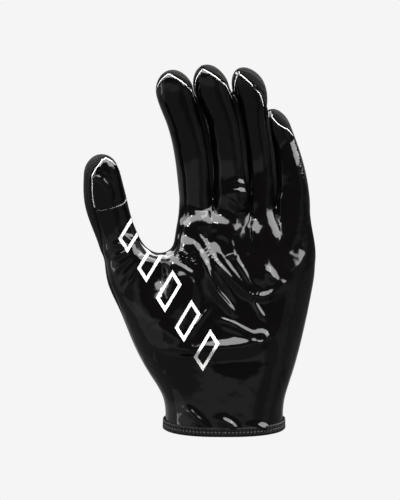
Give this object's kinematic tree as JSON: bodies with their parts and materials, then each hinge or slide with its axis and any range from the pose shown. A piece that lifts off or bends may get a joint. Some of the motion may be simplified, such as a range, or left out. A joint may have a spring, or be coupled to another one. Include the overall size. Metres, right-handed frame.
{
  "type": "football receiver glove",
  "caption": "Left-hand receiver glove with a glossy grip-film palm, knit back, side strips between the fingers and a bound open wrist.",
  "frame": {"origin": "middle of the wrist opening, in the plane of the cuff binding's lower edge", "axes": "+Z from the cuff to the fingertips, -Y to the palm side, +X to the little-finger side"},
  "size_m": [0.1386, 0.0625, 0.2197],
  "materials": {
    "grip_film": "glossy black silicone-coated synthetic leather, soft creases, white cut edge",
    "knit_back": "matt dark brown-grey stretch knit",
    "side_strip": "dark satin stretch fabric between the fingers",
    "binding_tape": "charcoal knit tape with a line of stitches"
  },
  "bodies": {
    "root": {"palm_panel": "grip_film", "thumb_pad": "grip_film", "back_panel": "knit_back", "thumb_gusset": "knit_back", "fourchette_index_middle": "side_strip", "fourchette_middle_ring": "side_strip", "fourchette_ring_little": "side_strip", "cuff_binding": "binding_tape"}
  },
  "joints": []
}
